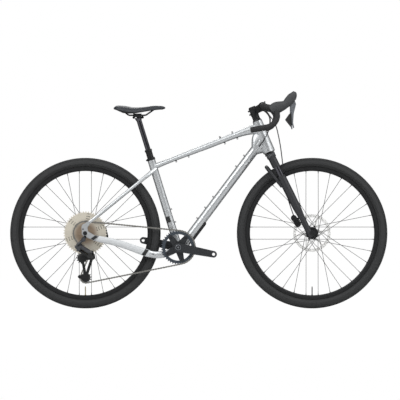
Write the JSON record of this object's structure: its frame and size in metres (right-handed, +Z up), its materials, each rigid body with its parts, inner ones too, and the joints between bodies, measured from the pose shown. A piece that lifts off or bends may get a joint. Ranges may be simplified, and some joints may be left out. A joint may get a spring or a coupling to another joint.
{
  "type": "gravel bicycle",
  "caption": "Gravel bicycle with a short-travel suspension fork, flared drop bars, disc brakes, a wide-range single-ring drive and a dropper seatpost.",
  "frame": {"origin": "on the ground, midway between the two axles, on the bicycle's centre plane", "axes": "+X forward, +Y to the rider's left, +Z up"},
  "size_m": [1.8097, 0.5186, 1.0384],
  "materials": {
    "silver_paint": "gloss lacquer over moulded carbon fibre",
    "charcoal_paint": "satin lacquer over aluminium and magnesium",
    "anodised_black": "black anodised",
    "black_post": "black hard anodised, polished",
    "dark_bolts": "black oxide",
    "plain_axle": "silver anodised",
    "rim_black": "black bead-blasted and anodised",
    "tyre_rubber": "moulded tread rubber",
    "spoke_steel": "black oxide on drawn steel",
    "disc_steel": "ground stainless steel",
    "valve_dark": "black anodised",
    "valve_brass": "plain brass",
    "caliper_black": "black anodised",
    "hood_rubber": "moulded matt rubber",
    "tape_black": "embossed wound tape",
    "plug_plastic": "moulded",
    "hose_black": "extruded hose",
    "lever_grey": "grey anodised",
    "paddle_plastic": "glass-filled nylon",
    "crank_grey": "forged and grey anodised",
    "ring_grey": "machined and grey anodised",
    "chain_steel": "plated steel",
    "cassette_champagne": "nickel-plated steel",
    "derailleur_black": "black anodised",
    "pulley_plastic": "moulded",
    "saddle_skin": "synthetic leather over foam",
    "saddle_base": "moulded nylon"
  },
  "bodies": {
    "frame": {"frame": "silver_paint", "headset_bearings": "anodised_black", "bottom_bracket_cups": "anodised_black", "seat_clamp": "anodised_black", "dropper_outer_tube": "anodised_black", "rear_axle": "plain_axle", "cage_inserts": "dark_bolts", "rear_caliper": "caliper_black", "frame_guards": "hood_rubber", "chain": "chain_steel", "frame_hoses": "hose_black", "derailleur_hanger": "derailleur_black", "derailleur_knuckle": "derailleur_black"},
    "steering": {"fork_crown": "charcoal_paint", "stanchions": "anodised_black", "stem": "anodised_black", "stem_faceplate": "anodised_black", "stem_bolts": "dark_bolts", "headset_spacers": "anodised_black", "handlebar": "anodised_black", "bar_tape": "tape_black", "bar_plugs": "plug_plastic", "hoods": "hood_rubber", "front_brake_hose": "hose_black"},
    "fork_lowers": {"fork_lowers": "charcoal_paint", "fork_wipers": "hood_rubber", "front_axle": "anodised_black", "front_caliper": "caliper_black"},
    "brake_lever_right": {"brake_lever_right": "lever_grey"},
    "brake_lever_left": {"brake_lever_left": "lever_grey"},
    "shift_paddle": {"shift_paddle": "paddle_plastic"},
    "dropper_paddle": {"dropper_paddle": "paddle_plastic"},
    "outer_link": {"outer_link": "derailleur_black"},
    "inner_link": {"inner_link": "derailleur_black"},
    "cage_knuckle": {"cage_knuckle": "derailleur_black"},
    "derailleur_cage": {"derailleur_cage": "derailleur_black"},
    "guide_pulley": {"guide_pulley": "pulley_plastic"},
    "tension_pulley": {"tension_pulley": "pulley_plastic"},
    "front_wheel": {"front_tyre": "tyre_rubber", "front_rim": "rim_black", "front_valve": "valve_dark", "front_spokes": "spoke_steel", "front_rotor": "disc_steel", "front_hub": "anodised_black"},
    "rear_wheel": {"rear_tyre": "tyre_rubber", "rear_rim": "rim_black", "rear_valve": "valve_brass", "rear_spokes": "spoke_steel", "rear_rotor": "disc_steel", "rear_hub": "anodised_black"},
    "cassette": {"cassette": "cassette_champagne", "freehub_body": "plain_axle"},
    "crankset": {"chainring": "ring_grey", "crank_right": "crank_grey", "crank_left": "crank_grey"},
    "seat": {"dropper_inner_post": "black_post", "saddle_clamp": "anodised_black", "saddle_rails": "dark_bolts", "saddle_shell": "saddle_base", "saddle_cover": "saddle_skin"}
  },
  "joints": [
    {"name": "steering", "type": "hinge", "parent": "frame", "child": "steering", "pos_m": [0.33755, 0, 0.75091], "axis": [-0.3584, 0, 0.9336], "range_deg": [-60, 60], "deforming": ["frame_hoses"]},
    {"name": "fork_slide", "type": "slide", "parent": "steering", "child": "fork_lowers", "axis": [-0.4462, 0, 0.8949], "range_m": [0, 0.04], "stiffness_N_per_m": 12000, "springref_m": -0.004, "deforming": ["front_brake_hose"]},
    {"name": "front_wheel_spin", "type": "hinge", "parent": "fork_lowers", "child": "front_wheel", "pos_m": [0.544, 0, 0.361], "axis": [0, 1, 0], "continuous": true},
    {"name": "rear_wheel_spin", "type": "hinge", "parent": "frame", "child": "rear_wheel", "pos_m": [-0.544, 0, 0.361], "axis": [0, 1, 0], "continuous": true},
    {"name": "crank_spin", "type": "hinge", "parent": "frame", "child": "crankset", "pos_m": [-0.09816, 0, 0.293], "axis": [0, 1, 0], "continuous": true, "deforming": ["chain"]},
    {"name": "cassette_spin", "type": "hinge", "parent": "frame", "child": "cassette", "pos_m": [-0.544, 0, 0.361], "axis": [0, 1, 0], "continuous": true, "deforming": ["chain"]},
    {"name": "dropper_slide", "type": "slide", "parent": "frame", "child": "seat", "axis": [-0.2957, 0, 0.9553], "range_m": [-0.12, 0], "stiffness_N_per_m": 600, "springref_m": 0.02},
    {"name": "brake_lever_right_pull", "type": "hinge", "parent": "steering", "child": "brake_lever_right", "pos_m": [0.44923, -0.215, 0.98392], "axis": [0, 1, 0], "range_deg": [0, 18], "stiffness_Nm_per_rad": 2},
    {"name": "brake_lever_left_pull", "type": "hinge", "parent": "steering", "child": "brake_lever_left", "pos_m": [0.44923, 0.215, 0.98392], "axis": [0, 1, 0], "range_deg": [0, 18], "stiffness_Nm_per_rad": 2},
    {"name": "shift_paddle_swing", "type": "hinge", "parent": "brake_lever_right", "child": "shift_paddle", "pos_m": [0.44523, -0.2072, 0.98392], "axis": [0, 0, 1], "range_deg": [-18, 0], "stiffness_Nm_per_rad": 0.3},
    {"name": "dropper_paddle_swing", "type": "hinge", "parent": "brake_lever_left", "child": "dropper_paddle", "pos_m": [0.44523, 0.2072, 0.98392], "axis": [0, 0, 1], "range_deg": [0, 18], "stiffness_Nm_per_rad": 0.3},
    {"name": "derailleur_shift", "type": "hinge", "parent": "frame", "child": "outer_link", "pos_m": [-0.566, -0.104, 0.3], "axis": [0.2586, 0.8754, 0.4084], "range_deg": [-45, 25], "deforming": ["chain"]},
    {"name": "inner_link_swing", "type": "hinge", "parent": "frame", "child": "inner_link", "pos_m": [-0.57537, -0.09433, 0.28521], "axis": [0.2586, 0.8754, 0.4084], "range_deg": [-45, 25], "deforming": ["chain"]},
    {"name": "cage_knuckle_swing", "type": "hinge", "parent": "outer_link", "child": "cage_knuckle", "pos_m": [-0.51362, -0.104, 0.26683], "axis": [0.2586, 0.8754, 0.4084], "range_deg": [-25, 45], "deforming": ["chain"]},
    {"name": "cage_swing", "type": "hinge", "parent": "cage_knuckle", "child": "derailleur_cage", "pos_m": [-0.51, 0, 0.247], "axis": [0, 1, 0], "range_deg": [-30, 5], "stiffness_Nm_per_rad": 0.6, "deforming": ["chain"]},
    {"name": "guide_pulley_spin", "type": "hinge", "parent": "derailleur_cage", "child": "guide_pulley", "pos_m": [-0.55874, 0, 0.24157], "axis": [0, 1, 0], "continuous": true, "deforming": ["chain"]},
    {"name": "tension_pulley_spin", "type": "hinge", "parent": "derailleur_cage", "child": "tension_pulley", "pos_m": [-0.54118, 0, 0.14858], "axis": [0, 1, 0], "continuous": true, "deforming": ["chain"]}
  ],
  "couplings": [
    {"joint": "cassette_spin", "follows": "crank_spin", "ratio": 1.4286},
    {"joint": "guide_pulley_spin", "follows": "crank_spin", "ratio": -3.0769},
    {"joint": "tension_pulley_spin", "follows": "crank_spin", "ratio": 3.0769},
    {"joint": "inner_link_swing", "follows": "derailleur_shift", "ratio": 1},
    {"joint": "cage_knuckle_swing", "follows": "derailleur_shift", "ratio": -1}
  ]
}
